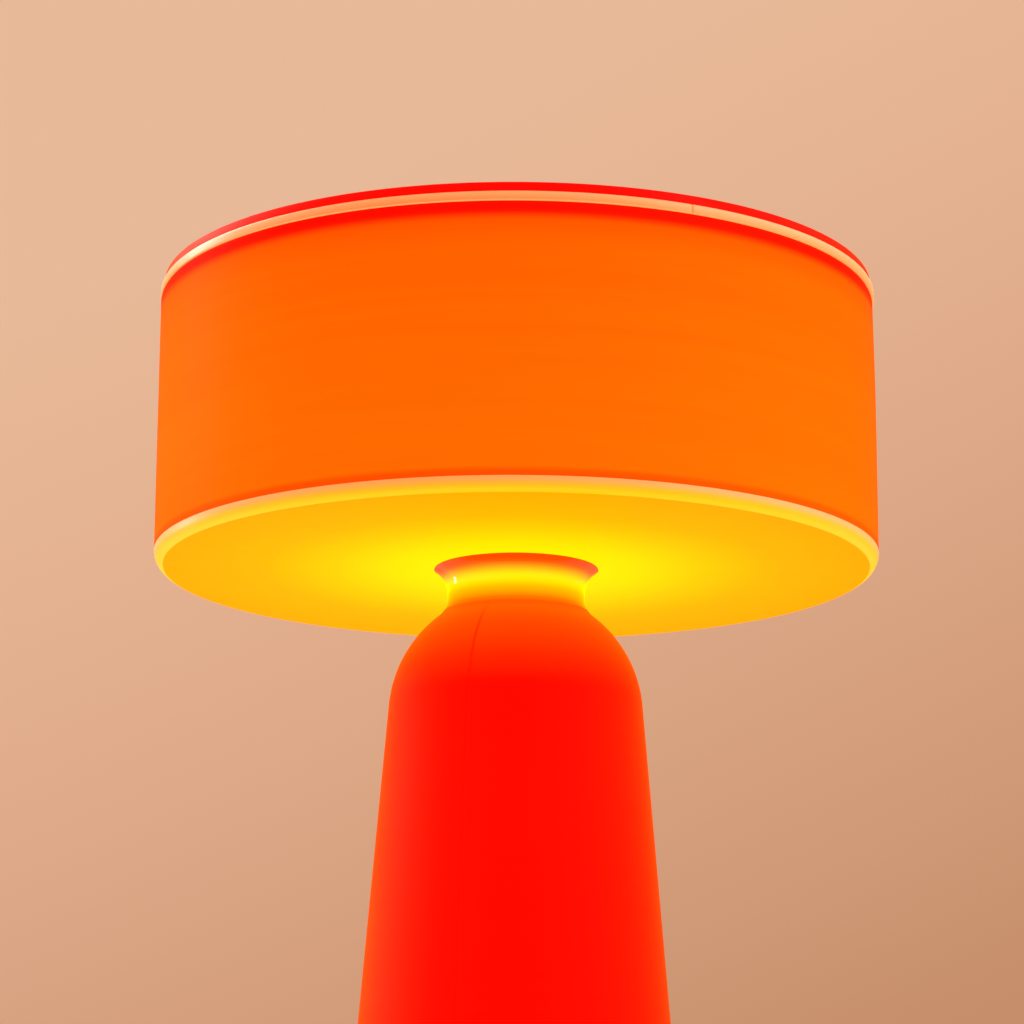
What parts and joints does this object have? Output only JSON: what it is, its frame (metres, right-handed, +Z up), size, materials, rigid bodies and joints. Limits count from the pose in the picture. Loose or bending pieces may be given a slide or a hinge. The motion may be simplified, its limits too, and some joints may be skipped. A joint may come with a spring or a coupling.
{
  "type": "bedside lamp",
  "caption": "Table lamp with a tapered hollow base, a waisted neck with a flared lip, a glowing drum shade in a translucent sleeve that lifts off, a loose lid and a screw-in bulb.",
  "frame": {"origin": "centre of the foot, on the table", "axes": "+Z up along the lamp's axis, +Y to the back, where the cord inlet is"},
  "size_m": [0.24, 0.24, 0.3144],
  "materials": {
    "red_plastic": "satin, fine level layer lines, lets some light through",
    "lid_plastic": "satin, fine layer lines",
    "sleeve_plastic": "satin, translucent, fine layer lines",
    "diffuser_plastic": "glossy, translucent",
    "plate_steel": "rolled",
    "zinc_steel": "zinc plated",
    "pad_rubber": "matt",
    "black_plastic": "moulded",
    "holder_plastic": "moulded",
    "insert_ceramic": "unglazed",
    "contact_brass": "bright",
    "contact_solder": "dull",
    "insulator_glass": "vitreous",
    "cap_metal": "nickel plated",
    "bulb_plastic": "moulded",
    "board_metal": "white",
    "chip_phosphor": "cast",
    "globe_opal": "opal"
  },
  "bodies": {
    "base": {"base_shell": "red_plastic", "weight_plate": "plate_steel", "plate_screws": "zinc_steel", "foot_pads": "pad_rubber", "lamp_rod": "zinc_steel", "rod_lower_nut": "zinc_steel", "rod_lower_washer": "zinc_steel", "rod_upper_nut": "zinc_steel", "rod_upper_washer": "zinc_steel", "cord_gland": "black_plastic", "gland_nut": "black_plastic", "holder_stop_nut": "zinc_steel", "holder_cap": "holder_plastic", "holder_insert": "insert_ceramic", "terminal_screws": "contact_brass", "centre_contact": "contact_brass", "screw_shell": "contact_brass", "holder_skirt": "holder_plastic"},
    "shade": {"diffuser_drum": "diffuser_plastic", "shade_sleeve": "sleeve_plastic", "crown_ring": "diffuser_plastic"},
    "lid": {"top_lid": "lid_plastic"},
    "bulb_carrier": {"bulb_contact": "contact_solder"},
    "bulb": {"bulb_insulator": "insulator_glass", "bulb_cap": "cap_metal", "bulb_housing": "bulb_plastic", "led_board": "board_metal", "led_chips": "chip_phosphor", "bulb_globe": "globe_opal"}
  },
  "joints": [
    {"name": "shade_lift", "type": "slide", "parent": "base", "child": "shade", "axis": [0, 0, 1], "range_m": [0, 0.12]},
    {"name": "lid_lift", "type": "slide", "parent": "shade", "child": "lid", "axis": [0, 0, 1], "range_m": [0, 0.06]},
    {"name": "bulb_climb", "type": "slide", "parent": "base", "child": "bulb_carrier", "axis": [0, 0, 1], "range_m": [0, 0.0185]},
    {"name": "bulb_turn", "type": "hinge", "parent": "bulb_carrier", "child": "bulb", "pos_m": [0, 0, 0.22], "axis": [0, 0, 1], "range_deg": [0, 1800]}
  ],
  "couplings": [
    {"joint": "bulb_climb", "follows": "bulb_turn", "m_per_rad": 0.00057614}
  ]
}
